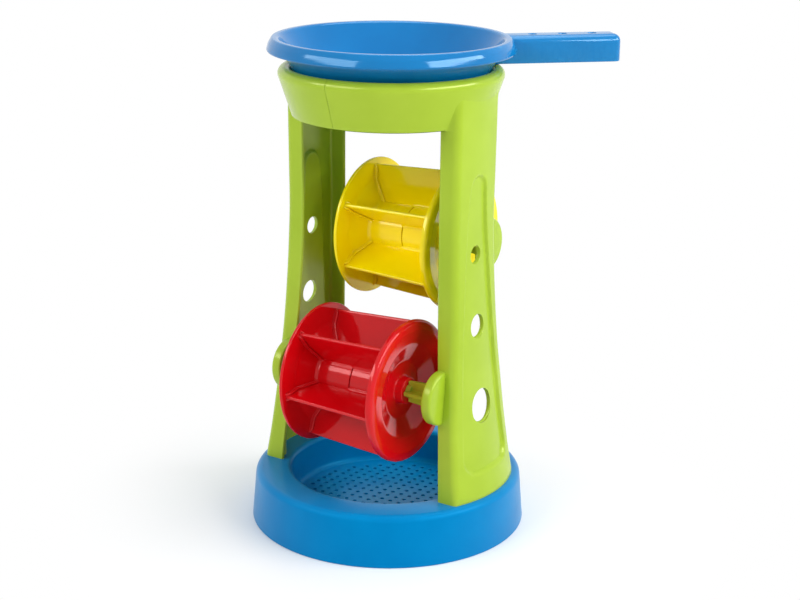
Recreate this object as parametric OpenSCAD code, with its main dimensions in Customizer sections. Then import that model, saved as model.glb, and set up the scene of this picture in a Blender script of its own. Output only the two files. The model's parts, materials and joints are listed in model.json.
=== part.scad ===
// Sand wheel toy: a sieve base, a tower in two halves, two paddle wheels one above
// the other, and a lift-off sieve dish with a handle. Millimetres, +Z up, origin in
// the middle of the base's underside, wheel axles along X, front towards -Y.

/* [Base] */
// Diameter of the base at the ground
base_diameter = 170; // [160:1:190]
// Height of the flat ring that the legs stand on
base_height = 31.5; // [28:0.5:38]
// How far the outer skirt leans in between ground and shoulder
skirt_lean = 2.7; // [1:0.1:5]
// Radius of the rounded outer shoulder
shoulder_radius = 4.5; // [3:0.5:6]
// Distance between the base's edge at the ground and the bowl, just below its lip
ring_width = 24.5; // [23:0.5:30]
// How far the bowl's wall leans in towards its floor
bowl_lean = 1; // [0.5:0.1:4]
// Radius between the bowl's wall and its floor
bowl_fillet = 4; // [2:0.5:6]
// Height of the sieve floor's upper face above the ground
floor_height = 9.5; // [7:0.5:14]
// Distance between neighbouring sieve holes
sieve_pitch = 6.2; // [5.5:0.1:9]
// Diameter of a sieve hole
sieve_hole = 2.7; // [2:0.1:3.5]

/* [Tower] */
// Height of the collar's top edge above the ground
tower_height = 282.5; // [276:0.5:300]
// Height of the collar
collar_height = 29.2; // [26:0.1:34]
// How much wider the collar is at its top than at its lower edge, in diameter
collar_flare = 16.4; // [12:0.1:20]
// Thickness of the collar's wall
collar_wall = 3; // [2.4:0.1:3.6]
// Radius of the collar's rounded top edge
bead_radius = 4.3; // [3.5:0.1:5]
// Width of a leg at its waist
leg_width = 45.2; // [40:0.1:50]
// Width of a leg at its foot
foot_width = 67; // [60:0.5:70]
// Depth of a leg at its waist, across its wall
leg_depth = 12.4; // [10:0.1:14]
// Depth of a leg at its foot, at its corners
foot_depth = 14.6; // [12:0.1:16]
// How far a leg's outer face swells out at its waist
leg_bow = 0.9; // [0.5:0.1:2]
// How much more it swells out at its foot
foot_bow = 4.6; // [3:0.1:5]
// Free space between a wheel and the leg beside it
leg_space = 14.8; // [11:0.1:17]
// Radius of a leg's outer corners
leg_corner = 4; // [3:0.1:6]
// Depth of the panel pressed into a leg's outer face
panel_depth = 1.2; // [0.6:0.1:1.6]
// Diameter of the lowest hole in a leg
low_hole = 20.5; // [14:0.5:22]
// Diameter of the middle hole in a leg
middle_hole = 14; // [8:0.5:16]
// Diameter of the highest hole in a leg
high_hole = 10.5; // [6:0.5:14]

/* [Wheels] */
// Diameter of a wheel's thick disc
wheel_diameter = 86.4; // [80:0.1:92]
// Diameter of the thin disc at a wheel's other end
end_disc_diameter = 85.2; // [78:0.1:86]
// Distance between a wheel's two end discs
wheel_gap = 60.4; // [54:0.1:64]
// Width of the thick disc's rolled rim
rim_width = 3.4; // [3:0.1:5]
// How far a wheel has slid along its axle
wheel_shift = 0.8; // [0:0.1:1]
// Diameter of the hub
hub_diameter = 32.4; // [28:0.1:36]
// Diameter at which a disc starts to sink in towards the hub
sink_diameter = 58; // [50:0.5:64]
// How far a disc sinks in at the hub
sink_depth = 5.9; // [3:0.1:8]
// Number of paddles on a wheel
paddle_count = 6; // [4:1:8]
// Thickness of a paddle
paddle_thickness = 2; // [1.6:0.1:2.6]
// How far the paddles stay inside the rim
paddle_inset = 1.2; // [0.6:0.1:3]
// How much further in a paddle's loose end lies
paddle_draft = 3; // [1:0.1:5]
// How far each axle lies in front of or behind the tower's middle
axle_offset = 27.8; // [24:0.1:30]
// Height of the lower axle above the flat ring
axle_rise = 63.5; // [60:0.5:68]
// Height of the upper axle above the lower one
axle_spacing = 81; // [80:0.5:86]
// Diameter of the ears that carry the axle pins
ear_diameter = 32.4; // [28:0.1:36]
// Thickness of an ear
ear_thickness = 6.4; // [4.5:0.1:7]
// Diameter of the round end of an axle pin
pin_diameter = 8; // [6:0.1:10]
// Length of the round end of an axle pin
pin_length = 11; // [8:0.1:13]
// Length of the boss that an axle pin runs in
boss_length = 15; // [14:0.5:18]
// Diameter over the ribs of an axle pin, beside the wheel
rib_diameter = 13; // [11.5:0.1:14]
// How much wider the ribs are at the ear
rib_flare = 2.4; // [0:0.1:4]

/* [Dish] */
// Widest diameter of the dish
dish_diameter = 146; // [136:0.5:156]
// How far the dish's rim stands out beyond the collar
rim_overhang = 6.4; // [5:0.1:8]
// Height of the dish's rim above the collar
dish_rise = 16.7; // [15:0.1:19]
// Height of the rim's outer face
rim_height = 8; // [6:0.1:9]
// How far the rim's outer face leans in towards its top
rim_lean = 3; // [1.5:0.1:3.4]
// Depth of the bowl below the collar's top
dish_depth = 23; // [16:0.5:26]
// How far the handle reaches beyond the dish's rim
handle_length = 65; // [56:1:80]
// Width of the handle
handle_width = 18; // [14:0.5:24]
// Gap between the collar's top edge and the handle above it
handle_lift = 0.5; // [0.3:0.1:4]
// Direction of the handle, from the axle line towards the back
handle_angle = 45; // [0:1:90]
// Diameter of the holes in the handle
handle_hole = 5; // [3:0.5:7]
// Distance between the holes in the handle
handle_hole_pitch = 18.4; // [14:0.1:20]
// Distance between neighbouring holes in the dish's floor
dish_pitch = 9; // [8:0.5:12]
// Diameter of a hole in the dish's floor
dish_hole = 3; // [2:0.1:4]

/* [Walls and fits] */
// Wall of the base, the legs, the dish and the handle
wall = 2.4; // [2:0.1:2.8]
// Wall of the wheels' discs and hubs
wheel_wall = 2.2; // [1.8:0.1:2.4]
// Gap between an axle pin and its hub
pin_gap = 0.08; // [0.05:0.01:0.1]
// Running gap between other parts that move on each other
running_gap = 0.3; // [0.2:0.05:0.4]
// Gap between parts that are pressed together
joint_gap = 0.1; // [0.05:0.01:0.2]
// Diameter of a foot screw's shank
screw_diameter = 3.2; // [2.6:0.1:4]
// Length of a foot screw's shank
screw_length = 16; // [12:0.5:22]

/* [Hidden] */
$fn = 96;
// Straight steps in a quarter turn of an outline
arc_steps = 6;
// One overrun for every cut
overrun = 1;

// Base
base_radius = base_diameter / 2;
land_outer = base_radius - skirt_lean - shoulder_radius;
bowl_radius = base_radius - ring_width;
lip_inner_radius = 0.8;
lip_radius = wall + lip_inner_radius;
land_inner = bowl_radius + lip_radius;
floor_edge = bowl_radius - bowl_lean - bowl_fillet;
sieve_margin = 2;

// Tower
wheel_half = wheel_gap / 2;
wheel_side = wheel_half + rim_width;
waist_inner = wheel_side + leg_space;
waist_face = waist_inner + leg_depth;
foot_half = foot_width / 2;
waist_half = leg_width / 2;
// The foot's side walls stand on the flat ring, a little outwards of its inner edge
foot_margin = 3;
foot_inner = sqrt(pow(land_inner + foot_margin, 2) - foot_half * foot_half);
foot_face = foot_inner + foot_depth;
collar_bottom = tower_height - collar_height;
collar_widest = tower_height - bead_radius;
collar_radius = dish_diameter / 2 - rim_overhang;
collar_drop = collar_flare / 2;
collar_rise = collar_widest - collar_bottom;
// Lean of the collar's straight side, from its lower edge to where it touches its round top edge
collar_lean = atan((collar_drop - bead_radius) / collar_rise)
  + asin(bead_radius / norm([collar_drop - bead_radius, collar_rise]));
leg_length = collar_bottom - base_height;
// A leg ends inside the collar's wall, below its rounded top edge, and leans to meet the collar
leg_top = collar_widest - bead_radius;
crown_inset = 10;
crown_lean = collar_radius - collar_drop - crown_inset - waist_inner;
// Directions of the flats that make up a leg's outside: its swelling face, then its corners
face_turns = [-12, -5, 0, 5, 12];
corner_turns = [-90, -60, -30, 30, 60, 90];
// Each row: height, spread of the outer face, spread of the width and inner edge, lean to the collar
leg_shares = [
  [0, 1, 1, 0],
  [0.04, 0.88, 0.94, 0],
  [0.08, 0.77, 0.87, 0],
  [0.13, 0.66, 0.78, 0],
  [0.18, 0.56, 0.69, 0],
  [0.24, 0.46, 0.58, 0],
  [0.31, 0.36, 0.45, 0],
  [0.38, 0.27, 0.31, 0],
  [0.45, 0.2, 0.2, 0],
  [0.54, 0.12, 0.1, 0],
  [0.63, 0.055, 0.035, 0],
  [0.73, 0, 0, 0],
  [0.86, 0.02, 0, 0.5],
  [1, 0.05, 0, 1]
];
leg_last = leg_shares[len(leg_shares) - 1];
panel_low_share = 0.07;
panel_high_share = 0.868;
panel_low_half = 23;
panel_high_half = 8;
panel_corner = 9;
panel_lean = atan((panel_low_half - panel_high_half) / ((panel_high_share - panel_low_share) * leg_length));
hole_height_shares = [0.241, 0.462, 0.657];
hole_diameters = [low_hole, middle_hole, high_hole];
seam_strap_angle = 7;
seam_strap_wall = 2;
// Lower and upper end of a strap and of its root, on the collar's height
strap_shares = [0.25, 0.65];
root_shares = [0.32, 0.58];

// Wheels
lower_axle = base_height + axle_rise;
upper_axle = lower_axle + axle_spacing;
lower_turn = 38.5;
wheel_radius = wheel_diameter / 2;
hub_radius = hub_diameter / 2;
hub_inner = hub_radius - wheel_wall;
hub_end = wheel_half - sink_depth;
sink_radius = sink_diameter / 2;
rim_round = 2.6;
end_disc_radius = end_disc_diameter / 2;
end_disc_round = 0.8;
boss_wall = 4;
bore_radius = pin_diameter / 2 + pin_gap;
bore_boss_radius = bore_radius + boss_wall;
boss_face = wheel_half + wheel_wall;
sleeve_length = 8;
sleeve_wall = 1.8;
sleeve_outer = hub_inner - joint_gap;
sleeve_inner = sleeve_outer - sleeve_wall;
paddle_reach = wheel_radius - paddle_inset;
guide_height = 2.4;
guide_wall = 1.2;
thrust_gap = 0.5;
pin_shoulder = boss_face + wheel_shift + thrust_gap;
pin_tip = pin_shoulder - pin_length;
pin_ribs = 2;
pin_rib_wall = 2.6;
ear_round = 1.8;
// How far an ear stands in from the inner edge of its leg
ear_proud = 1.6;

// Dish
dish_top = tower_height + dish_rise;
dish_radius = dish_diameter / 2;
dish_floor = tower_height - dish_depth;
rim_crown = 5.2;
rim_round_radius = 2.6;
rim_edge_radius = 1.3;
// Lean of the bowl's wall, away from upright
dish_lean = 27.6;
dish_fillet = 6;
dish_floor_radius = dish_side(dish_floor + dish_fillet, dish_fillet);
handle_low = tower_height + handle_lift;
handle_start = dish_side(handle_low, wall / 2);
handle_reach = dish_radius + handle_length;
handle_round = 4.5;
handle_hole_step = 12;
handle_first_hole = dish_radius + handle_hole_step;
handle_holes = 3;

// Foot screws
post_radius = 4.6;
post_height = 15;
screw_radius = screw_diameter / 2;
screw_head_radius = 3.6;
screw_head_height = 2.4;
screw_y = foot_half - wall - post_radius;
screw_ring = (land_inner + land_outer) / 2;
screw_x = sqrt(screw_ring * screw_ring - screw_y * screw_y);

green = [0.63, 0.77, 0.21];
blue = [0.03, 0.5, 0.8];
yellow = [0.96, 0.84, 0.05];
red = [0.82, 0.05, 0.1];
steel = [0.7, 0.71, 0.73];

// Points along an arc about a centre, from one angle to another
function arc(center, radius, from, to) =
  [for (i = [0:arc_steps]) center + radius * [cos(from + (to - from) * i / arc_steps),
                                              sin(from + (to - from) * i / arc_steps)]];

function leg_height(row) = base_height + row[0] * leg_length;
function leg_face(row) = waist_face + row[1] * (foot_face - waist_face) + row[3] * crown_lean;
function leg_half(row) = waist_half + row[2] * (foot_half - waist_half);
function leg_inner(row) = waist_inner + row[2] * (foot_inner - waist_inner) + row[3] * crown_lean;

// Inner edge of a leg's side walls at a height
function leg_inner_at(height) =
  lookup(height, [for (row = leg_shares) [leg_height(row), leg_inner(row)]]);

// Distance from the axis to a leg's rounded corner in one direction
function corner_support(row, turn) =
  (leg_face(row) - leg_corner) * cos(turn) + (leg_half(row) - leg_corner) * abs(sin(turn)) + leg_corner;

// Distance from the axis to a leg's swelling face in one direction
function face_support(row, turn) =
  let (chord = leg_half(row) - leg_corner,
       bow = leg_bow + row[1] * foot_bow,
       radius = (chord * chord + bow * bow) / (2 * bow))
  (leg_face(row) + bow - radius) * cos(turn) + radius;

// Flat sieve floor with a square grid of holes, reaching into the shell around it
module sieve_floor(edge, pitch, hole, floor_wall) {
  within = edge - sieve_margin;
  count = floor(within / pitch);
  linear_extrude(floor_wall)
    difference() {
      circle(r = edge - sieve_margin / 2);
      for (i = [-count:count], j = [-count:count])
        if (norm([i, j]) * pitch + hole / 2 <= within)
          translate([i * pitch, j * pitch])
            circle(d = hole, $fn = 16);
    }
}

module base_shell() {
  sieve_edge = floor_edge - sieve_margin;
  shoulder = [land_outer, base_height - shoulder_radius];
  lip = [land_inner, base_height - lip_radius];
  fillet = [floor_edge, floor_height + bowl_fillet];
  rotate_extrude()
    polygon(concat(
      [[base_radius, 0]],
      arc(shoulder, shoulder_radius, 0, 90),
      arc(lip, lip_radius, 90, 180),
      arc(fillet, bowl_fillet, 0, -90),
      [[sieve_edge, floor_height], [sieve_edge, floor_height - wall]],
      arc(fillet, bowl_fillet + wall, -90, 0),
      arc(lip, lip_inner_radius, 180, 90),
      arc(shoulder, shoulder_radius - wall, 90, 0),
      [[base_radius - wall, 0]]
    ));
}

module base_tray() {
  color(blue) {
    difference() {
      base_shell();
      for (side = [-1, 1], end = [-1, 1])
        translate([side * screw_x, end * screw_y, base_height - wall - overrun])
          cylinder(r = screw_radius + joint_gap, h = wall + 2 * overrun);
    }
    translate([0, 0, floor_height - wall])
      sieve_floor(floor_edge, sieve_pitch, sieve_hole, wall);
  }
}

// What lies on the inner side of one of a leg's flats, given how far out it is at each row
module leg_side(turn, supports) {
  reach = base_radius;
  last = len(supports) - 1;
  low = base_height - overrun;
  high = leg_top + overrun;
  rotate([90, 0, turn])
    linear_extrude(2 * reach, center = true)
      polygon(concat(
        [[-reach, low], [supports[0], low]],
        [for (i = [0:last]) [supports[i], leg_height(leg_shares[i])]],
        [[supports[last], high], [-reach, high]]
      ));
}

// Solid of a leg with an inset: what lies on the inner side of all its flats
module leg_block(inset) {
  intersection() {
    intersection_for(turn = face_turns)
      leg_side(turn, [for (row = leg_shares) face_support(row, turn) - inset]);
    intersection_for(turn = corner_turns)
      leg_side(turn, [for (row = leg_shares) corner_support(row, turn) - inset]);
    cylinder(r = land_outer - inset, h = tower_height);
  }
}

// What lies outwards of the inner edge of a leg's side walls
module leg_band() {
  rotate([90, 0, 0])
    linear_extrude(2 * base_radius, center = true)
      polygon(concat(
        [for (row = leg_shares) [leg_inner(row), leg_height(row)]],
        [[leg_inner(leg_last), leg_top], [base_radius, leg_top], [base_radius, base_height]]
      ));
}

// Tall tapering panel outline, drawn across and up, pushed through the leg
module panel_prism() {
  low = base_height + panel_low_share * leg_length;
  high = base_height + panel_high_share * leg_length;
  corner = [panel_low_half - panel_corner, low + panel_corner];
  translate([waist_inner, 0, 0])
    rotate([90, 0, 90])
      linear_extrude(base_radius - waist_inner)
        polygon(concat(
          arc(corner, panel_corner, -90, panel_lean),
          arc([0, high - panel_high_half], panel_high_half, panel_lean, 180 - panel_lean),
          arc([-corner[0], corner[1]], panel_corner, 180 - panel_lean, 270)
        ));
}

// Round plate with a softened edge that carries an axle pin, facing outwards along X
module ear(height, side) {
  radius = ear_diameter / 2;
  translate([leg_inner_at(height) - ear_proud, side * axle_offset, height])
    rotate([0, 90, 0])
      rotate_extrude()
        polygon(concat(
          [[0, 0], [radius - ear_round, 0]],
          arc([radius - ear_round, ear_round], ear_round, -90, 0),
          arc([radius - ear_round, ear_thickness - ear_round], ear_round, 0, 90),
          [[0, ear_thickness]]
        ));
}

// Ribbed stub from the ear to the wheel, with a round end that runs in the hub
module axle_pin(height, side) {
  root = leg_inner_at(height) - ear_proud + ear_thickness / 2;
  rib_half = rib_diameter / 2;
  root_half = rib_half + rib_flare / 2;
  translate([0, side * axle_offset, height])
    rotate([0, 90, 0]) {
      translate([0, 0, pin_tip])
        cylinder(d = pin_diameter, h = root - pin_tip);
      for (rib = [0:pin_ribs - 1])
        rotate([0, 0, rib * 180 / pin_ribs])
          radial_plate([
            [-rib_half, pin_shoulder],
            [rib_half, pin_shoulder],
            [root_half, root],
            [-root_half, root]
          ], pin_rib_wall);
    }
}

module leg() {
  difference() {
    union() {
      intersection() {
        leg_block(0);
        leg_band();
      }
      ear(lower_axle, -1);
      ear(upper_axle, 1);
    }
    difference() {
      leg_block(wall);
      difference() {
        panel_prism();
        leg_block(wall + panel_depth);
      }
    }
    difference() {
      panel_prism();
      leg_block(panel_depth);
    }
    leg_holes();
  }
}

module leg_holes() {
  for (i = [0:len(hole_diameters) - 1])
    translate([waist_inner, 0, base_height + hole_height_shares[i] * leg_length])
      rotate([0, 90, 0])
        cylinder(d = hole_diameters[i], h = base_radius - waist_inner);
}

// Posts inside the foot that take the screws, shaped by the leg's outside
module screw_posts() {
  intersection() {
    leg_block(0);
    for (end = [-1, 1])
      translate([screw_x, end * screw_y, base_height])
        cylinder(r = post_radius, h = post_height);
  }
}

module screw_holes() {
  for (end = [-1, 1])
    translate([screw_x, end * screw_y, base_height - overrun])
      cylinder(r = screw_radius + joint_gap, h = post_height + 2 * overrun);
}

// Radius of the collar's leaning side at a height, moved in by an inset
function collar_at(height, inset) =
  collar_radius - bead_radius + (height - collar_widest) * tan(collar_lean)
  + (bead_radius - inset) / cos(collar_lean);

// Both ends of the collar's leaning side, from its lower edge up, moved in by an inset
function collar_side(inset) =
  [for (height = [collar_bottom, collar_widest - bead_radius]) [collar_at(height, inset), height]];

module collar_half() {
  bead = [collar_radius - bead_radius, collar_widest];
  top_turn = 90 / arc_steps;
  rotate([0, 0, -90])
    rotate_extrude(angle = 180)
      polygon(concat(
        [collar_side(0)[0]],
        arc(bead, bead_radius, -collar_lean, 90),
        arc(bead, bead_radius, 90 + top_turn, 180),
        [for (i = [1, 0]) collar_side(collar_wall)[i]]
      ));
}

// Space inside the collar, out to the middle of its wall
module throat() {
  rotate_extrude()
    polygon(concat(
      [[0, collar_bottom]],
      collar_side(collar_wall / 2),
      [[collar_at(collar_widest, collar_wall / 2), collar_widest], [0, collar_widest]]
    ));
}

module tower_half() {
  difference() {
    union() {
      leg();
      screw_posts();
    }
    throat();
    screw_holes();
  }
  collar_half();
  axle_pin(lower_axle, -1);
  axle_pin(upper_axle, 1);
}

// Piece of a strap behind a seam, over some degrees, between two insets from the collar's side
module seam_strap(from, angle, outer, inner, low_share, high_share) {
  low = collar_bottom + low_share * collar_height;
  high = collar_bottom + high_share * collar_height;
  rotate([0, 0, from])
    intersection() {
      rotate_extrude(angle = angle)
        polygon(concat(
          collar_side(outer),
          [for (i = [1, 0]) collar_side(inner)[i]]
        ));
      translate([0, 0, low])
        cylinder(r = collar_radius, h = high - low);
    }
}

// Strap across a seam, on a narrower root that grows out of the left half's wall
module seam_tongue(seam, side) {
  strap_outer = collar_wall + joint_gap;
  root_middle = seam + side * seam_strap_angle / 2;
  seam_strap(seam - seam_strap_angle, 2 * seam_strap_angle, strap_outer,
             strap_outer + seam_strap_wall, strap_shares[0], strap_shares[1]);
  seam_strap(root_middle - seam_strap_angle / 4, seam_strap_angle / 2, collar_wall / 2,
             strap_outer + seam_strap_wall / 2, root_shares[0], root_shares[1]);
}

module tower_half_left() {
  color(green) {
    mirror([1, 0, 0])
      tower_half();
    seam_tongue(90, 1);
    seam_tongue(270, -1);
  }
}

module tower_half_right() {
  color(green)
    tower_half();
}

// Outside of a wheel half from the seam at mid-hub out to its rim and back to the bore
function wheel_half_outline(rim) = concat(
  [
    [hub_radius, joint_gap / 2],
    [hub_radius, hub_end],
    [sink_radius, wheel_half]
  ],
  rim,
  [
    [sink_radius, wheel_half + wheel_wall],
    [hub_radius, hub_end + wheel_wall],
    [bore_boss_radius, hub_end + wheel_wall],
    [bore_boss_radius, boss_face],
    [bore_radius, boss_face],
    [bore_radius, boss_face - boss_length],
    [bore_boss_radius, boss_face - boss_length],
    [bore_boss_radius, hub_end],
    [hub_inner, hub_end]
  ]
);

// Rolled rim of the thick disc, standing out on its outer side
thick_rim = concat(
  [[wheel_radius, wheel_half]],
  arc([wheel_radius - rim_round, wheel_side - rim_round], rim_round, 0, 90)
);

// Softened edge of the thin disc
thin_rim = concat(
  arc([end_disc_radius - end_disc_round, wheel_half + end_disc_round], end_disc_round, -90, 0),
  arc([end_disc_radius - end_disc_round, wheel_half + wheel_wall - end_disc_round], end_disc_round, 0, 90)
);

// Plate through the wheel's axis, drawn outwards and along the axle
module radial_plate(points, thickness) {
  rotate([90, 0, 0])
    linear_extrude(thickness, center = true)
      polygon(points);
}

// Moulding with the thick disc, half the hub and all the paddles
module paddle_half() {
  rotate_extrude()
    polygon(concat(wheel_half_outline(thick_rim), [[hub_inner, joint_gap / 2]]));
  for (i = [0:paddle_count - 1])
    rotate([0, 0, i * 360 / paddle_count])
      radial_plate([
        [hub_radius - wheel_wall / 2, joint_gap / 2],
        [hub_radius - wheel_wall / 2, hub_end],
        [sink_radius, wheel_half + wheel_wall / 2],
        [paddle_reach, wheel_half + wheel_wall / 2],
        [paddle_reach - paddle_draft, joint_gap - wheel_half],
        [sink_radius, joint_gap - wheel_half],
        [hub_radius + joint_gap, joint_gap - hub_end],
        [hub_radius + joint_gap, joint_gap / 2]
      ], paddle_thickness);
}

// Moulding with the thin disc, half the hub, a sleeve and guides for the paddles' ends
module disc_half() {
  rotate_extrude()
    polygon(concat(
      [[sleeve_outer, joint_gap / 2]],
      wheel_half_outline(thin_rim),
      [
        [hub_inner, sleeve_length],
        [sleeve_inner, sleeve_length],
        [sleeve_inner, -sleeve_length],
        [sleeve_outer, -sleeve_length]
      ]
    ));
  for (i = [0:paddle_count - 1], side = [-1, 1])
    rotate([0, 0, i * 360 / paddle_count])
      translate([0, side * (paddle_thickness / 2 + joint_gap + guide_wall / 2), 0])
        radial_plate([
          [hub_radius - wheel_wall / 2, hub_end + wheel_wall / 2],
          [sink_radius, wheel_half + wheel_wall / 2],
          [paddle_reach - paddle_draft, wheel_half + wheel_wall / 2],
          [paddle_reach - paddle_draft, wheel_half - guide_height],
          [sink_radius, wheel_half - guide_height],
          [hub_radius - wheel_wall / 2, hub_end - guide_height]
        ], guide_wall);
}

// Puts a wheel's moulding, drawn along Z, on its axle
module on_axle(height, side, turn) {
  translate([wheel_shift, side * axle_offset, height])
    rotate([0, 90, 0])
      rotate([0, 0, turn])
        children();
}

module upper_wheel_paddles() {
  color(yellow)
    on_axle(upper_axle, 1, 0)
      paddle_half();
}

module upper_wheel_disc() {
  color(yellow)
    on_axle(upper_axle, 1, 0)
      mirror([0, 0, 1])
        disc_half();
}

module lower_wheel_paddles() {
  color(red)
    on_axle(lower_axle, -1, lower_turn)
      paddle_half();
}

module lower_wheel_disc() {
  color(red)
    on_axle(lower_axle, -1, lower_turn)
      mirror([0, 0, 1])
        disc_half();
}

// Radius of the bowl's leaning wall at a height, moved in by an inset: it rests on the collar's
// rounded top edge, with a running gap
function dish_side(height, inset) =
  collar_radius - bead_radius + (height - collar_widest) * tan(dish_lean)
  - (bead_radius + running_gap + inset) / cos(dish_lean);

module dish_shell() {
  rim_low = dish_top - rim_height;
  rim_root = rim_low + wall / 2;
  sieve_edge = dish_floor_radius - sieve_margin;
  rotate_extrude()
    polygon(concat(
      [[sieve_edge, dish_floor]],
      arc([dish_floor_radius, dish_floor + dish_fillet], dish_fillet, -90, -dish_lean),
      [[dish_side(rim_root, 0), rim_root], [dish_radius - wall, rim_low]],
      arc([dish_radius - wall / 2, rim_root], wall / 2, -90, 0),
      arc([dish_radius - rim_lean - rim_edge_radius, dish_top - rim_edge_radius], rim_edge_radius, 30, 90),
      arc([dish_radius - rim_crown, dish_top - rim_round_radius], rim_round_radius, 90, 180 - dish_lean),
      arc([dish_floor_radius, dish_floor + dish_fillet], dish_fillet - wall, -dish_lean, -90),
      [[sieve_edge, dish_floor + wall]]
    ));
}

// Handle-shaped solid with an inset: rounded across the top, in plan and at its end, leaning with
// the bowl's wall where it starts
module handle_block(inset, start, low) {
  half = handle_width / 2 - inset;
  end = handle_reach - inset;
  top = dish_top - inset;
  round = handle_round - inset;
  intersection() {
    translate([start, 0, 0])
      rotate([90, 0, 90])
        linear_extrude(end - start)
          polygon(concat(
            [[half, low]],
            arc([half - round, top - round], round, 0, 90),
            arc([round - half, top - round], round, 90, 180),
            [[-half, low]]
          ));
    translate([0, 0, low])
      linear_extrude(top - low)
        polygon(concat(
          [[start, -half]],
          arc([end - round, round - half], round, -90, 0),
          arc([end - round, half - round], round, 0, 90),
          [[start, half]]
        ));
    rotate([90, 0, 0])
      linear_extrude(handle_width, center = true)
        polygon(concat(
          [[start, low], [end, low]],
          arc([end - round, top - round], round, 0, 90),
          [[start + (top - low) * tan(dish_lean), top]]
        ));
  }
}

// Hollow handle, open below, with a row of holes along its top
module handle() {
  rotate([0, 0, handle_angle])
    difference() {
      handle_block(0, handle_start, handle_low);
      handle_block(wall, handle_start + wall, handle_low - overrun);
      for (i = [0:handle_holes - 1])
        translate([handle_first_hole + i * handle_hole_pitch, 0, dish_top - wall - overrun])
          cylinder(d = handle_hole, h = wall + 2 * overrun);
    }
}

module sieve_dish() {
  color(blue) {
    dish_shell();
    handle();
    translate([0, 0, dish_floor])
      sieve_floor(dish_floor_radius, dish_pitch, dish_hole, wall);
  }
}

// Pan-head screw pushed up through the ring into a foot's post
module foot_screw(side, end) {
  seat = base_height - wall;
  color(steel)
    translate([side * screw_x, end * screw_y, seat]) {
      cylinder(r = screw_radius, h = screw_length);
      translate([0, 0, -screw_head_height])
        cylinder(r1 = screw_radius + screw_head_height / 2, r2 = screw_head_radius, h = screw_head_height);
    }
}

base_tray();
tower_half_left();
tower_half_right();
upper_wheel_paddles();
upper_wheel_disc();
lower_wheel_paddles();
lower_wheel_disc();
sieve_dish();
foot_screw(-1, -1);  // foot_screw_1
foot_screw(-1, 1);  // foot_screw_2
foot_screw(1, -1);  // foot_screw_3
foot_screw(1, 1);  // foot_screw_4
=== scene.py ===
# %% [markdown]
# # A toy sand wheel
# Sand goes into a blue sieve dish, runs through a green tower, turns a yellow and a red
# paddle wheel on the way down, and ends in a blue sieve base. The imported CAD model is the
# fixed frame of this lesson. It gives the sizes, the joints and the places of all pieces,
# and each step below dresses one moulding of it with the soft edges of real plastic.

# %% Load the frame
import json

import bmesh
import bpy
import numpy as np
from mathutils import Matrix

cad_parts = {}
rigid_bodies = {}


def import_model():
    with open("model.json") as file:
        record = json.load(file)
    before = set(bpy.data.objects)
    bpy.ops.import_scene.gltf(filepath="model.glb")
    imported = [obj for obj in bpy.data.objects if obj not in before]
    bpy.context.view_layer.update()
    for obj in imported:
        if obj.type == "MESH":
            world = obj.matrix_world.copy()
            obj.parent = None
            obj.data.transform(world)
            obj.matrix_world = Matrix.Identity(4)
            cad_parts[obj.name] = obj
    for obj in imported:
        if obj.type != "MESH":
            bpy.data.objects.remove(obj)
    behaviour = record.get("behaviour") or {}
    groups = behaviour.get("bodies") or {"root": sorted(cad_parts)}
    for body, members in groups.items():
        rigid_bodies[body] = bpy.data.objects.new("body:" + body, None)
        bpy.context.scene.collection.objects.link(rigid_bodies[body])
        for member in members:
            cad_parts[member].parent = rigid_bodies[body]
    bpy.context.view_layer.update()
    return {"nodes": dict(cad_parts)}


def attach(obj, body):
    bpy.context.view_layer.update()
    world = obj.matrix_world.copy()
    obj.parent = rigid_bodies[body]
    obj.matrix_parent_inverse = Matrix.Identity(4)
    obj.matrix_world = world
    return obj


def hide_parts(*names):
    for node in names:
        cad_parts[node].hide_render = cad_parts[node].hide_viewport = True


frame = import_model()
MM = 0.001

# %% [markdown]
# ## Camera
# The photograph looks down on the toy from its front right corner. The camera's place and
# turn were worked out from points of the toy whose size is known, such as the two rims and
# the axles, so they are plain numbers here. A long lens keeps the tower's sides parallel.

# %% Camera
camera = bpy.data.objects.new("photo_camera", bpy.data.cameras.new("photo_camera"))
bpy.context.scene.collection.objects.link(camera)
camera.location = np.array([541.55, -812.02, 439.13]) * MM
camera.rotation_euler = np.radians([72.8907, -0.5781, 33.4974])
camera.data.sensor_width = 36
camera.data.lens = 75.29
bpy.context.scene.camera = camera
print("camera stands", round(float(np.linalg.norm(camera.location)), 2), "m from the origin")

# %% [markdown]
# ## Floor and light
# Glossy toys are photographed between large soft boxes on a white sweep. The boxes show in
# the plastic as pale patches with clear edges, so they are area lamps here, and the rest of
# the light comes from a plain world. The floor and the world are white for the camera and
# in reflections only, which keeps the light on the toy at a plain level.

# %% World
bpy.context.scene.view_settings.view_transform = "Standard"
world = bpy.data.worlds.new("white_room")
bpy.context.scene.world = world
world.use_nodes = True


def seen_as_white(tree, plain, white):
    """Shader that is white for camera, glossy and transmission rays, and plain for all others."""
    path = tree.nodes.new("ShaderNodeLightPath")
    either = tree.nodes.new("ShaderNodeMath")
    either.operation = "MAXIMUM"
    every = tree.nodes.new("ShaderNodeMath")
    every.operation = "MAXIMUM"
    mix = tree.nodes.new("ShaderNodeMixShader")
    tree.links.new(path.outputs["Is Camera Ray"], either.inputs[0])
    tree.links.new(path.outputs["Is Glossy Ray"], either.inputs[1])
    tree.links.new(either.outputs[0], every.inputs[0])
    tree.links.new(path.outputs["Is Transmission Ray"], every.inputs[1])
    tree.links.new(every.outputs[0], mix.inputs[0])
    tree.links.new(plain.outputs[0], mix.inputs[1])
    tree.links.new(white.outputs[0], mix.inputs[2])
    return mix


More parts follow.
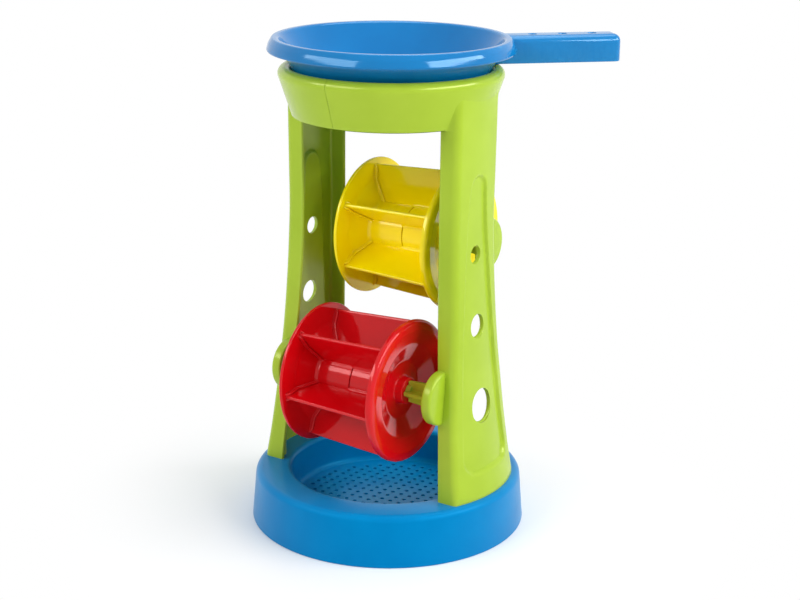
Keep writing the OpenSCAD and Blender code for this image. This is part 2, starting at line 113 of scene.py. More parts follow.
room_light = world.node_tree.nodes["Background"]
room_light.inputs["Strength"].default_value = 0.34
room_light.inputs["Color"].default_value = (0.82, 0.94, 1, 1)
room_white = world.node_tree.nodes.new("ShaderNodeBackground")
room_white.inputs["Strength"].default_value = 1
room_white.inputs["Color"].default_value = (1, 1, 1, 1)
world.node_tree.links.new(seen_as_white(world.node_tree, room_light, room_white).outputs[0],
                          world.node_tree.nodes["World Output"].inputs["Surface"])
print("room light", room_light.inputs["Strength"].default_value)


# %% Soft boxes
def soft_box(name, place, size, power):
    """Rectangular area lamp at a place in metres, turned to face the middle of the tower."""
    lamp = bpy.data.lights.new(name, "AREA")
    lamp.shape = "RECTANGLE"
    lamp.size, lamp.size_y = size
    lamp.energy = power
    box = bpy.data.objects.new(name, lamp)
    bpy.context.scene.collection.objects.link(box)
    look = np.array([0, 0, 0.15]) - np.array(place)
    box.location = place
    box.rotation_euler = (np.arctan2(np.hypot(look[0], look[1]), -look[2]), 0, np.arctan2(-look[0], look[1]))
    return box


soft_box("right_box", (0.89, 0.12, 0.70), (1.05, 0.3), 10)
soft_box("left_box", (-0.39, -0.81, 0.70), (0.95, 0.3), 5.4)
soft_box("top_box", (0.0, 0.2, 1.2), (0.8, 0.8), 6)
print("soft boxes:", [lamp.name for lamp in bpy.data.lights])

# %% [markdown]
# ## Helpers for grids of points
# Every moulding below is a grid of points: one parameter runs along the rows, the other
# along the columns. A skin turns such a grid into points, face corners and face sizes, all
# as whole arrays. Several skins make one piece, as ribs and walls make one moulding.


# %% Skins
def skin(points, ring_rows=False, ring_columns=False, caps=()):
    """Quads between neighbouring points of a grid (rows, columns, xyz).
    A ring joins the last row or column to the first. Caps close the first or last row with one face."""
    rows, columns = points.shape[:2]
    row = np.arange(rows if ring_rows else rows - 1)[:, None]
    column = np.arange(columns if ring_columns else columns - 1)[None, :]
    row_on, column_on = (row + 1) % rows, (column + 1) % columns
    quads = np.stack([row * columns + column, row * columns + column_on,
                      row_on * columns + column_on, row_on * columns + column], -1)
    corners = [quads.ravel()]
    sizes = [np.full(quads.shape[0] * quads.shape[1], 4)]
    for end in caps:
        corners.append(np.arange(columns) + (0 if end == "first" else (rows - 1) * columns))
        sizes.append(np.array([columns]))
    return points.reshape(-1, 3), np.concatenate(corners), np.concatenate(sizes)


def closed_tube(points):
    """Skin of a tube: its columns make a ring, and one face closes each end."""
    return skin(points, ring_columns=True, caps=("first", "last"))


def joined(skins):
    """One skin from several: points one after the other, corners counted on from the points before."""
    starts = np.cumsum([0] + [len(points) for points, _, _ in skins[:-1]])
    return (np.concatenate([points for points, _, _ in skins]),
            np.concatenate([corners + start for (_, corners, _), start in zip(skins, starts)]),
            np.concatenate([sizes for _, _, sizes in skins]))


def as_mesh(name, shape):
    """Mesh in metres from a skin in millimetres, doubles merged and faces turned outwards."""
    points, corners, sizes = shape
    mesh = bpy.data.meshes.new(name)
    mesh.vertices.add(len(points))
    mesh.vertices.foreach_set("co", (points * MM).ravel())
    mesh.loops.add(len(corners))
    mesh.loops.foreach_set("vertex_index", corners)
    mesh.polygons.add(len(sizes))
    mesh.polygons.foreach_set("loop_start", np.cumsum(sizes) - sizes)
    mesh.update(calc_edges=True)
    mesh.validate()
    work = bmesh.new()
    work.from_mesh(mesh)
    bmesh.ops.remove_doubles(work, verts=work.verts, dist=0.004 * MM)
    bmesh.ops.dissolve_degenerate(work, edges=work.edges, dist=0.004 * MM)
    bmesh.ops.recalc_face_normals(work, faces=work.faces)
    work.to_mesh(mesh)
    work.free()
    return mesh


# %% Drilling
def drilled(shape, cutters):
    """Skin with the cutters' volume taken out of it by an exact Boolean."""
    scene_objects = bpy.context.scene.collection.objects
    block = bpy.data.objects.new("block", as_mesh("block", shape))
    drill = bpy.data.objects.new("drill", as_mesh("drill", cutters))
    scene_objects.link(block)
    scene_objects.link(drill)
    holes = block.modifiers.new("holes", "BOOLEAN")
    holes.operation, holes.solver, holes.object = "DIFFERENCE", "EXACT", drill
    mesh = block.evaluated_get(bpy.context.evaluated_depsgraph_get()).data
    points = np.empty(len(mesh.vertices) * 3)
    corners = np.empty(len(mesh.loops), int)
    sizes = np.empty(len(mesh.polygons), int)
    mesh.vertices.foreach_get("co", points)
    mesh.loops.foreach_get("vertex_index", corners)
    mesh.polygons.foreach_get("loop_total", sizes)
    for used in (block, drill):
        old = used.data
        bpy.data.objects.remove(used)
        bpy.data.meshes.remove(old)
    return points.reshape(-1, 3) / MM, corners, sizes


# %% Pieces
def make_piece(node, skins, finish, body, crease=38):
    """Piece that stands for a CAD node: smooth, with sharp edges where faces meet at more than the crease."""
    mesh = as_mesh("moulded_" + node, joined(skins))
    mesh.polygons.foreach_set("use_smooth", np.ones(len(mesh.polygons), bool))
    mesh.set_sharp_from_angle(angle=np.radians(crease))
    mesh.materials.append(finish)
    piece = bpy.data.objects.new("moulded_" + node, mesh)
    bpy.context.scene.collection.objects.link(piece)
    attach(piece, body)
    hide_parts(node)
    mesh.calc_loop_triangles()
    print(piece.name, len(mesh.loop_triangles), "triangles")
    return piece


# %% Outlines
def rounded(corners, radii, steps=6):
    """Closed outline with its corners rounded: each arc's middle lies on the corner's bisector,
    radius / sin(half angle) away, and the arc turns from one side's touching point to the other's."""
    corners = np.asarray(corners, float)
    radius = np.asarray(radii, float)[:, None]
    before = np.roll(corners, 1, 0) - corners
    after = np.roll(corners, -1, 0) - corners
    before /= np.linalg.norm(before, axis=1, keepdims=True)
    after /= np.linalg.norm(after, axis=1, keepdims=True)
    half = np.arccos(np.clip((before * after).sum(1, keepdims=True), -1, 1)) / 2
    middle = before + after
    middle = corners + middle / np.linalg.norm(middle, axis=1, keepdims=True) * radius / np.sin(half)
    start = corners + before * radius / np.tan(half) - middle
    end = corners + after * radius / np.tan(half) - middle
    turn = (np.pi - 2 * half)[:, None]
    share = np.linspace(0, 1, steps + 1)[None, :, None]
    arcs = (np.sin((1 - share) * turn) * start[:, None] + np.sin(share * turn) * end[:, None]) / np.sin(turn)
    return (middle[:, None] + arcs).reshape(-1, 2)


def turned(outline, sweep=(0, 360), steps=160):
    """Outline of (radius, height) carried round Z: (radius cos, radius sin, height) at each angle.
    Rows follow the outline, columns the angle."""
    full = sweep[1] - sweep[0] == 360
    angle = np.radians(np.linspace(sweep[0], sweep[1], steps + 1)[: steps if full else steps + 1])
    radius, height = np.asarray(outline, float).T[:, :, None]
    return np.stack(np.broadcast_arrays(radius * np.cos(angle), radius * np.sin(angle), height), -1)


def along_x(points):
    """Turns what was drawn round Z so that it lies round X: height becomes x, the turn goes from Y to Z."""
    return points[..., [2, 0, 1]]


print("helpers ready")

# %% [markdown]
# ## Moulded plastic
# All coloured pieces are injection moulded and glossy. Close up, such a surface isn't one
# flat colour: pigment clouds it a little, the wall's cooling leaves a slow ripple, and play
# leaves fine scuffs that change the gloss. Noise at four scales gives these, on Object
# coordinates so that they stay on the piece. Edges that bend outwards get a painted highlight,
# a paler colour that the scuff noise breaks up. In the photograph the base looks duller than
# the dish, so the same blue is satin there.


# %% Plastics
def linear(red, green, blue):
    """Colour as the shader takes it from one written in 0 to 255: the screen curve undone."""
    value = np.array([red, green, blue]) / 255
    return (*np.where(value <= 0.04045, value / 12.92, ((value + 0.055) / 1.055) ** 2.4), 1)


def noise(tree, coordinates, scale, detail=2.0, distortion=0.0):
    """Noise texture on given coordinates."""
    texture = tree.nodes.new("ShaderNodeTexNoise")
    texture.inputs["Scale"].default_value = scale
    texture.inputs["Detail"].default_value = detail
    texture.inputs["Distortion"].default_value = distortion
    tree.links.new(coordinates, texture.inputs["Vector"])
    return texture.outputs["Fac"]


def ramp(tree, factor, low, high, low_colour, high_colour):
    """Colour that goes from one to another while the factor goes from low to high."""
    between = tree.nodes.new("ShaderNodeValToRGB")
    between.color_ramp.elements[0].position, between.color_ramp.elements[1].position = low, high
    between.color_ramp.elements[0].color, between.color_ramp.elements[1].color = low_colour, high_colour
    tree.links.new(factor, between.inputs["Fac"])
    return between.outputs["Color"]


def bump(tree, height, strength, distance, before=None):
    """Bump from a height, on top of the one before it."""
    node = tree.nodes.new("ShaderNodeBump")
    node.inputs["Strength"].default_value = strength
    node.inputs["Distance"].default_value = distance
    tree.links.new(height, node.inputs["Height"])
    if before is not None:
        tree.links.new(before, node.inputs["Normal"])
    return node.outputs["Normal"]


def painted_edge_highlight(tree, colour, scuffs_and_highlight_noise, painted_highlight_colour):
    """Colour with a painted highlight: it goes part of the way to a pale one by pointiness, from 0 on flat
    faces to 0.4 on edges that bend outwards, times the scuff noise."""
    shape = tree.nodes.new("ShaderNodeNewGeometry")
    edge = tree.nodes.new("ShaderNodeMapRange")
    edge.inputs["From Min"].default_value, edge.inputs["From Max"].default_value = 0.51, 0.58
    edge.inputs["To Max"].default_value = 0.4
    highlight_amount = tree.nodes.new("ShaderNodeMath")
    highlight_amount.operation = "MULTIPLY"
    mix = tree.nodes.new("ShaderNodeMix")
    mix.data_type = "RGBA"
    mix.inputs["B"].default_value = painted_highlight_colour
    tree.links.new(shape.outputs["Pointiness"], edge.inputs["Value"])
    tree.links.new(edge.outputs["Result"], highlight_amount.inputs[0])
    tree.links.new(scuffs_and_highlight_noise, highlight_amount.inputs[1])
    tree.links.new(highlight_amount.outputs[0], mix.inputs["Factor"])
    tree.links.new(colour, mix.inputs["A"])
    return mix.outputs["Result"]


cloud_scale, ripple_scale, scuff_scale, grain_scale = 26, 34, 420, 1500
# The last number says how far the painted edge highlight's colour goes towards white.
plastic_ior, scuff_roughness, highlight_white_share = 1.56, 0.05, 0.3


def moulded_plastic(name, shade, light, tint, gloss, shine):
    """Glossy plastic: colour clouds between shade and light, a painted highlight on outward edges, tinted
    gloss, scuffs, two bumps.
    """
    material = bpy.data.materials.new(name)
    material.use_nodes = True
    tree = material.node_tree
    shader = tree.nodes["Principled BSDF"]
    place = tree.nodes.new("ShaderNodeTexCoord").outputs["Object"]
    clouds = ramp(tree, noise(tree, place, cloud_scale, 4), 0.35, 0.68, linear(*shade), linear(*light))
    stretch = tree.nodes.new("ShaderNodeMapping")
    stretch.inputs["Rotation"].default_value = (0.4, 0.7, 0.2)
    stretch.inputs["Scale"].default_value = (1, 1, 0.4)
    tree.links.new(place, stretch.inputs["Vector"])
    scuffs_and_highlight_noise = noise(tree, stretch.outputs["Vector"], scuff_scale, 5, 0.6)
    # Painted highlight: edges that bend outwards lean towards this paler colour, part of the way to white.
    painted_highlight_colour = linear(*(np.array(light) * (1 - highlight_white_share) + 255 * highlight_white_share))
    tree.links.new(painted_edge_highlight(tree, clouds, scuffs_and_highlight_noise, painted_highlight_colour), shader.inputs["Base Color"])
    spread = tree.nodes.new("ShaderNodeMapRange")
    spread.inputs["From Min"].default_value, spread.inputs["From Max"].default_value = 0.35, 0.75
    spread.inputs["To Min"].default_value = gloss
    spread.inputs["To Max"].default_value = gloss + scuff_roughness
    tree.links.new(scuffs_and_highlight_noise, spread.inputs["Value"])
    tree.links.new(spread.outputs["Result"], shader.inputs["Roughness"])
    slow = bump(tree, noise(tree, place, ripple_scale, 1), 0.012, 1.2 * MM)
    fine = bump(tree, noise(tree, place, grain_scale, 2), 0.04, 0.05 * MM, slow)
    tree.links.new(fine, shader.inputs["Normal"])
    shader.inputs["IOR"].default_value = plastic_ior
    shader.inputs["Specular IOR Level"].default_value = shine
    shader.inputs["Specular Tint"].default_value = (*tint, 1)
    return material


blue_plastic = moulded_plastic("blue_plastic", (0, 108, 170), (0, 116, 179), (0.5, 0.8, 1), 0.08, 0.45)
blue_satin = moulded_plastic("blue_satin", (0, 120, 181), (0, 128, 189), (0.02, 0.5, 0.9), 0.3, 0.26)
green_plastic = moulded_plastic("green_plastic", (157, 185, 40), (165, 192, 48), (1, 1, 0.5), 0.2, 0.45)
yellow_plastic = moulded_plastic("yellow_plastic", (252, 224, 0), (255, 230, 0), (1, 0.95, 0.6), 0.1, 0.5)
red_plastic = moulded_plastic("red_plastic", (204, 4, 14), (212, 8, 18), (1, 0.5, 0.5), 0.07, 0.5)
print("finishes:", [material.name for material in bpy.data.materials])

# %% [markdown]
# ## White sweep
# Under the toy lies a sheet of white paper, one flat grid. Close to the toy it takes light as
# paper does, so that it keeps the toy's soft shadow. With the distance it goes over to plain
# white, as an overexposed sweep does behind a product, and no edge or horizon shows.

# %% Floor
floor_half, floor_drop = 6000, 0.05
shadow_start, shadow_end = 0.07, 0.22
corner = np.linspace(-floor_half, floor_half, 3)
floor_grid = np.stack(np.broadcast_arrays(corner[:, None], corner[None, :], np.float64(-floor_drop)), -1)
floor = bpy.data.objects.new("floor", as_mesh("floor", skin(floor_grid)))
bpy.context.scene.collection.objects.link(floor)
paper = bpy.data.materials.new("white_paper")
paper.use_nodes = True
paper_tree = paper.node_tree
paper_lit = paper_tree.nodes["Principled BSDF"]
paper_lit.inputs["Base Color"].default_value = (0.88, 0.88, 0.88, 1)
paper_lit.inputs["Roughness"].default_value = 0.7
paper_white = paper_tree.nodes.new("ShaderNodeEmission")
paper_place = paper_tree.nodes.new("ShaderNodeTexCoord")
from_toy = paper_tree.nodes.new("ShaderNodeVectorMath")
from_toy.operation = "LENGTH"
fade = paper_tree.nodes.new("ShaderNodeMapRange")
fade.interpolation_type = "SMOOTHSTEP"
fade.inputs["From Min"].default_value, fade.inputs["From Max"].default_value = shadow_start, shadow_end
sweep = paper_tree.nodes.new("ShaderNodeMixShader")
paper_tree.links.new(paper_place.outputs["Object"], from_toy.inputs[0])
paper_tree.links.new(from_toy.outputs["Value"], fade.inputs["Value"])
paper_tree.links.new(fade.outputs["Result"], sweep.inputs[0])
paper_tree.links.new(paper_lit.outputs[0], sweep.inputs[1])
paper_tree.links.new(paper_white.outputs[0], sweep.inputs[2])
paper_tree.links.new(seen_as_white(paper_tree, paper_lit, sweep).outputs[0],
                     paper_tree.nodes["Material Output"].inputs["Surface"])
floor.data.materials.append(paper)
print("floor", 2 * floor_half * MM, "m wide")

# %% [markdown]
# ## Base
# The base is a turned shape: a leaning skirt, a broad soft shoulder, a flat ring for the
# legs, and a bowl with a floor full of small holes. Its wall is the same all over, so one
# outline with rounded corners, carried once round the axis, makes it. The holes are drilled
# by one cutter that holds all of them, each a short tube of 16 sides.


# %% Sieve holes
def sieve_holes(pitch, diameter, within, low, high):
    """Tubes on a square grid, at every crossing where the whole hole lies within a radius."""
    count = int(within // pitch)
    step = np.arange(-count, count + 1) * pitch
    x, y = (axis.ravel() for axis in np.meshgrid(step, step))
    inside = np.hypot(x, y) + diameter / 2 <= within
    tube = turned([(diameter / 2, low), (diameter / 2, high)], steps=16)
    centres = np.stack([x[inside], y[inside], 0 * x[inside]], -1)
    return joined([closed_tube(tube + centre) for centre in centres])


# %% Base piece
base_outline = rounded(
    [(20, 9.5), (59.5, 9.5), (60.5, 31.5), (82.3, 31.5), (85, 0), (82.6, 0), (79.9, 29.1), (62.9, 29.1),
     (61.9, 7.1), (20, 7.1)],
    [0, 4, 3.2, 4.5, 0.6, 0.6, 2.1, 0.8, 6.4, 0], 8)
base_shell = closed_tube(turned(base_outline, steps=240))
base_sieve = sieve_holes(6.2, 2.7, 53.5, 5, 12)
make_piece("base_tray", [drilled(base_shell, base_sieve)], blue_satin, "frame")

# %% [markdown]
# ## Legs
# A leg is an open channel: a swelling outer face, two side walls and rounded corners. It is
# narrow at its waist and spreads into a broad foot. Seven numbers at fourteen heights would
# be enough for a loft, but here each height's section comes from smooth curves through the
# same shares that the CAD model uses, so the leg has no facets. At its top, the face runs
# into the collar with a soft blend, a smooth maximum of the leg's and the collar's radius.

# %% Curves of a leg
axles = {"lower": (-27.8, 95.0), "upper": (27.8, 176.0)}
leg_low, leg_high = 31.5, 253.3
leg_corner, panel_depth, base_edge = 4.6, 1.9, 77.8
leg_shares = np.array([
    (0, 1, 1), (0.04, 0.88, 0.94), (0.08, 0.77, 0.87), (0.13, 0.66, 0.78), (0.18, 0.56, 0.69),
    (0.24, 0.46, 0.58), (0.31, 0.36, 0.45), (0.38, 0.27, 0.31), (0.45, 0.2, 0.2), (0.54, 0.12, 0.1),
    (0.63, 0.055, 0.035), (0.73, 0, 0), (0.86, 0.02, 0), (1, 0.05, 0)])


def curve_through(knots, values, at):
    """Smooth curve through values at knots: cubic pieces that have, at a knot, the slope of the line
    through its neighbours."""
    slope = np.gradient(values, knots)
    i = np.clip(np.searchsorted(knots, at) - 1, 0, len(knots) - 2)
    width = knots[i + 1] - knots[i]
    t = (at - knots[i]) / width
    return ((1 + 2 * t) * (1 - t) ** 2 * values[i] + t * (1 - t) ** 2 * width * slope[i]
            + t * t * (3 - 2 * t) * values[i + 1] + t * t * (t - 1) * width * slope[i + 1])


def leg_sizes(z):
    """Outer face, swelling, half width and inner edge of a leg at given heights."""
    height = np.clip((z - leg_low) / (leg_high - leg_low), 0, 1)
    face_share = curve_through(leg_shares[:, 0], leg_shares[:, 1], height)
    width_share = curve_through(leg_shares[:, 0], leg_shares[:, 2], height)
    return (60.8 + 11.46 * face_share, 0.9 + 4.6 * face_share,
            22.6 + 10.9 * width_share, 48.4 + 9.26 * width_share)


axle_heights = np.array([height for _, height in axles.values()])
print("leg at the axles: half width", np.round(leg_sizes(axle_heights)[2], 1), "mm")


# %% Section of a leg
def leg_sheet(z, inset, corner, edge):
    """Points of one side of a leg's sheet at heights z, from the front inner edge round to the back one.
    Side wall, corner arc, and a face that swells as a parabola which meets the arcs without a kink."""
    face, bow, half, inner = (value[:, None] for value in leg_sizes(z))
    face, half, radius = face - inset, half - inset, corner - inset
    lean = np.arctan(2 * bow / (half - radius))
    arc_x = face - radius * np.cos(lean)
    turn = np.linspace(0, 1, 9)[None, :] * (np.pi / 2 - lean) - np.pi / 2
    wall = np.linspace(0, 1, 8)[None, :-1] ** 0.8
    across = np.linspace(-1, 1, 73)[None, 1:-1]
    wall_x = inner + edge + (arc_x - inner - edge) * wall
    corner_x, corner_y = arc_x + radius * np.cos(turn), -(half - radius) + radius * np.sin(turn)
    reach = -corner_y[:, -1:]
    face_x = corner_x[:, -1:] + reach * np.tan(lean) / 2 * (1 - across ** 2)
    x = np.concatenate([wall_x, corner_x, face_x, corner_x[:, ::-1], wall_x[:, ::-1]], 1)
    wall_y = np.broadcast_to(half, wall_x.shape)
    y = np.concatenate([-wall_y, corner_y, reach * across, -corner_y[:, ::-1], wall_y], 1)
    return x, y, np.broadcast_to(z[:, None], x.shape)


def pressed_panel(y, z):
    """How far the panel is pressed in at (y, z): 1 inside a tall triangle with round ends, 0 outside,
    with a soft slope between. The triangle's corners are rounded by measuring the distance to it."""
    low, high, low_half, high_half, round_low, slope = 47.0, 224.0, 23.0, 8.0, 9.0, 1.8
    share = np.clip((z - low - round_low) / (high - high_half - low - round_low), 0, 1)
    core = (1 - share) * (low_half - round_low)
    beyond = np.maximum(np.abs(y) - core, 0)
    above = np.maximum(z - (high - high_half), 0) + np.maximum(low + round_low - z, 0)
    distance = np.hypot(beyond, above) - (round_low + share * (high_half - round_low))
    t = np.clip(0.5 - distance / slope, 0, 1)
    return t * t * (3 - 2 * t)


# %% Collar's side
collar_lean = np.radians(18.72)
bead_middle, bead_height, bead_radius = 62.3, 278.2, 4.3


def collar_radius(z, inset=0.0):
    """Radius of the collar's side: a straight line that leans outwards and touches the round top edge."""
    return bead_middle + (z - bead_height) * np.tan(collar_lean) + (bead_radius - inset) / np.cos(collar_lean)


def smooth_max(a, b, blend):
    """The greater of two values, rounded by a parabola where they are closer than the blend."""
    return np.maximum(a, b) + np.maximum(blend - np.abs(a - b), 0) ** 2 / (4 * blend)


def pushed_out(x, y, radius, blend):
    """Moves points away from the tower's axis until they lie at the radius, with a soft blend."""
    now = np.hypot(x, y)
    grow = smooth_max(now, radius, blend) / now
    return x * grow, y * grow


# %% Leg
def leg():
    """Outer and inner sheet of a leg, joined by rounded edges into one ring of points at each height."""
    wall, edge, top = 2.4, 0.7, 275.4
    z = np.concatenate([np.linspace(leg_low, leg_high - 0.01, 190), np.linspace(leg_high, top, 30)])
    x, y, height = leg_sheet(z, 0, leg_corner, edge)
    x = x - panel_depth * pressed_panel(y, height)
    inner_x, inner_y, _ = leg_sheet(z, wall, leg_corner, edge)
    inner_x = inner_x - panel_depth * pressed_panel(inner_y, height)
    trim = np.minimum(1, base_edge / np.hypot(x, y))
    x, y = x * trim, y * trim
    in_collar = height >= leg_high
    blend = np.clip((275 - height) / 4, 0.02, 4)
    out_x, out_y = pushed_out(x, y, collar_radius(height) - 0.1, blend)
    x, y = np.where(in_collar, out_x, x), np.where(in_collar, out_y, y)
    out_x, out_y = pushed_out(inner_x, inner_y, collar_radius(height, 1.5), 0.02)
    inner_x, inner_y = np.where(in_collar, out_x, inner_x), np.where(in_collar, out_y, inner_y)
    tip = np.linspace(0, 1, 5)[None, 1:-1]
    first, last = (np.stack([x[:, [k]], y[:, [k]]]) for k in (0, -1))
    inner_first, inner_last = (np.stack([inner_x[:, [k]], inner_y[:, [k]]]) for k in (0, -1))
    dip = np.stack([-edge * np.sin(np.pi * tip) ** 0.5, 0 * tip])
    dip = np.where(in_collar[None, :, :1], 0, dip)
    end = last + (inner_last - last) * tip + dip
    start = inner_first + (first - inner_first) * tip + dip
    ring_x = np.concatenate([x, end[0], inner_x[:, ::-1], start[0]], 1)
    ring_y = np.concatenate([y, end[1], inner_y[:, ::-1], start[1]], 1)
    ring_z = np.broadcast_to(z[:, None], ring_x.shape)
    return closed_tube(np.stack([ring_x, ring_y, ring_z], -1))


def leg_holes():
    """Three round cutters along X, a little wider at the face so that the holes' edges are broken."""
    z = np.array([84.95, 133.97, 177.22])
    radius = np.array([10.25, 7.0, 5.25])
    face, bow, _, _ = leg_sizes(z)
    skins = []
    for height, hole, front in zip(z, radius, face + bow - panel_depth):
        outline = [(hole, front - 12), (hole, front - 0.5), (hole + 0.15, front - 0.2),
                   (hole + 0.6, front + 0.25), (hole + 0.6, front + 5)]
        skins.append(closed_tube(along_x(turned(outline, steps=64)) + (0, 0, height)))
    return joined(skins)


drilled_leg = drilled(leg(), leg_holes())
print("leg:", len(drilled_leg[0]), "points")

# %% [markdown]
# ## Ears and axle pins
# Beside each wheel, a round ear stands on the leg's edge and carries a pin. An ear is a disc
# with soft edges that the leg's side wall cuts to a D: its points beyond the wall's middle
# are laid on the wall. A pin has cross-shaped ribs, as moulders like thin walls, and ends in
# a round core that runs in the wheel.


# %% Ear and pin
def ear_and_pin(y, z):
    """Ear, ribs and core of one axle pin on the right leg. The ear is a turned plate, the ribs are a
    cross whose size changes along X, the core is a turned pin."""
    side, rib, rib_start = np.sign(y), 1.3, 33.7
    inner = float(leg_sizes(np.array([z]))[3][0]) - 1.6
    plate = rounded([(3, 0), (16.2, 0), (16.2, 6.4), (3, 6.4)], [0, 1.2, 1.8, 0], 6)
    ear = along_x(turned(plate, steps=120)) + (inner, y, z)
    wall = leg_sizes(ear[..., 2])[2].reshape(ear.shape[:2]) - 1.2
    ear[..., 1] = side * np.maximum(side * ear[..., 1], wall)
    reach = np.linspace(0, 1, 7)
    cross = []
    for tip in (6.5, 7.7):
        corners = [(rib, rib), (rib, tip), (-rib, tip), (-rib, rib), (-tip, rib), (-tip, -rib),
                   (-rib, -rib), (-rib, -tip), (rib, -tip), (rib, -rib), (tip, -rib), (tip, rib)]
        cross.append(rounded(corners, [0.7, 0.6, 0.6] * 4, 4))
    section = cross[0][None] + (cross[1] - cross[0])[None] * reach[:, None, None]
    rib_x = (rib_start + reach * (inner + 1.5 - rib_start))[:, None, None]
    ribs = np.concatenate([np.broadcast_to(rib_x, section.shape[:2] + (1,)), section + (y, z)], -1)
    core = rounded([(0.4, 22.7), (4, 22.7), (4, 36), (0.4, 36)], [0, 0.6, 0, 0], 4)
    pin = along_x(turned(core, steps=48)) + (0, y, z)
    return [closed_tube(ear), closed_tube(ribs), closed_tube(pin)]


# %% [markdown]
# ## Collar
# The collar is a turned ring in two halves that meet at the front and the back. Its side
# leans outwards to a thick round top edge that the dish's bowl rests on. Close to the seam
# its surface dips by a few tenths of a millimetre, which gives the fine dark line where two
# mouldings meet. Behind the seam, straps on the left half reach under the right one.


# %% Collar half
def collar_half():
    """Collar outline carried through a half turn, with a shallow dip at both seams."""
    low, wall = 253.9, 3
    z = np.linspace(low, bead_height - bead_radius * np.sin(collar_lean), 22)
    top = np.linspace(-collar_lean, np.radians(185), 22)[1:]
    inner_z = np.linspace(273.8, low, 12)
    lip = np.radians(np.linspace(-60, -180, 7))
    outline = np.concatenate([
        np.stack([collar_radius(z), z], -1),
        np.stack([bead_middle + bead_radius * np.cos(top), bead_height + bead_radius * np.sin(top)], -1),
        [(58.25, 277.5), (58.8, 277.15)],
        np.stack([collar_radius(inner_z, wall), inner_z], -1),
        np.stack([57.0 + 1.55 * np.cos(lip), 254.2 + 0.9 * np.sin(lip)], -1)[1:-1]])
    near = np.array([0.02, 0.08, 0.18, 0.32, 0.5])
    angle = np.concatenate([-90 + near, np.linspace(-89.2, 89.2, 151), 90 - near[::-1]])
    depth = np.array([0.35, 0.24, 0.13, 0.05, 0.01])
    dip = np.concatenate([depth, np.zeros(151), depth[::-1]])
    outer_points = len(z) + 16
    outside = np.arange(len(outline)) < outer_points
    radius = outline[None, :, 0] - dip[:, None] * outside[None, :]
    turn, height = np.radians(angle)[:, None], outline[None, :, 1]
    return closed_tube(np.stack(np.broadcast_arrays(radius * np.cos(turn), radius * np.sin(turn), height), -1))


def seam_straps():
    """Two straps inside the left half's ends that reach 7 degrees behind the right half."""
    low, high, outer, inner, reach = 260.6, 272.3, 3.1, 5.1, 7
    outline = rounded([(collar_radius(low, outer), low), (collar_radius(high, outer), high),
                       (collar_radius(high, inner), high), (collar_radius(low, inner), low)],
                      [0.4, 0.4, 0.6, 0.6], 3)
    straps = [turned(outline, (seam - reach, seam + reach), 14) for seam in (-90, 90)]
    return [closed_tube(np.swapaxes(strap, 0, 1)) for strap in straps]


# %% Screw posts
def screw_posts():
    """Two posts in the foot, round and open at the top, that take the screws from below."""
    tube = rounded([(1.7, 31.6), (4.6, 31.6), (4.6, 46.5), (1.7, 46.5)], [0, 0, 0.4, 0.3], 3)
    post = turned(tube, steps=32)
    return [skin(post + (65.6, side * 26.5, 0), ring_rows=True, ring_columns=True) for side in (-1, 1)]


# %% Tower pieces
right_half = [drilled_leg, collar_half(), *screw_posts()]
for axle_y, axle_z in axles.values():
    right_half += ear_and_pin(axle_y, axle_z)
left_half = [(points * (-1, 1, 1), corners, sizes) for points, corners, sizes in right_half] + seam_straps()
make_piece("tower_half_right", right_half, green_plastic, "frame")
make_piece("tower_half_left", left_half, green_plastic, "frame")

# %% [markdown]
# ## Paddle wheels
# Both wheels come from the same two moulds. One moulding has the thick disc, half the hub
# and six paddles, the other the thin disc, the other half of the hub and pairs of guides
# that hold the paddles' loose ends. Discs are turned outlines. A paddle is a plate whose
# thickness grows in a quarter circle where it meets the hub and the disc, so that it looks
# as if it flowed out of them.

# %% Wheel discs
hub, sink, face, cone_depth = 16.2, 29.0, 30.2, 5.9
paddle_root = 15.6


def wheel_disc(rim):
    """Closed outline of a disc with half a hub, a sunken middle and the boss, turned once round the axle."""
    seam, boss, bore = 0.32, 8.1, 4.08
    inside = [(hub, seam), (hub, face - cone_depth), (sink, face)]
    outside = [(sink, 32.4), (17.4, 26.9), (boss, 26.7), (boss, 32.4), (bore, 32.4), (bore, 17.4),
               (8.0, 17.4), (8.0, 24.2), (14, 24.2), (14, seam)]
    corners = inside + [corner[:2] for corner in rim] + outside
    radii = [0.25, 3, 7] + [corner[2] for corner in rim] + [9, 5, 1.2, 0.7, 0.4, 0, 0, 0, 1, 0.3]
    return turned(rounded(corners, radii, 7), steps=168)


# Corners of both rims: radius, distance from the wheel's middle, rounding
thick_rim = [(43.2, face, 0.4), (43.2, 33.9, 2.4), (37.5, 34.1, 3)]
thin_rim = [(42.6, face, 0.7), (42.6, 32.4, 0.8)]
print("wheel discs:", 2 * thick_rim[0][0], "and", 2 * thin_rim[0][0], "mm wide")


# %% Paddles
def disc_face(radius):
    """How far the discs' inner faces lie from the wheel's middle: flat outside, a cone towards the hub."""
    share = (sink - np.maximum(radius, hub)) / (sink - hub)
    return np.where(radius > sink, face, face - share * cone_depth)


def quarter(distance, radius):
    """Extra thickness of a fillet: a quarter circle of that radius, 0 beyond it."""
    gap = np.clip(1 - distance / radius, 0, 1)
    return radius * (1 - np.sqrt(1 - gap ** 2))


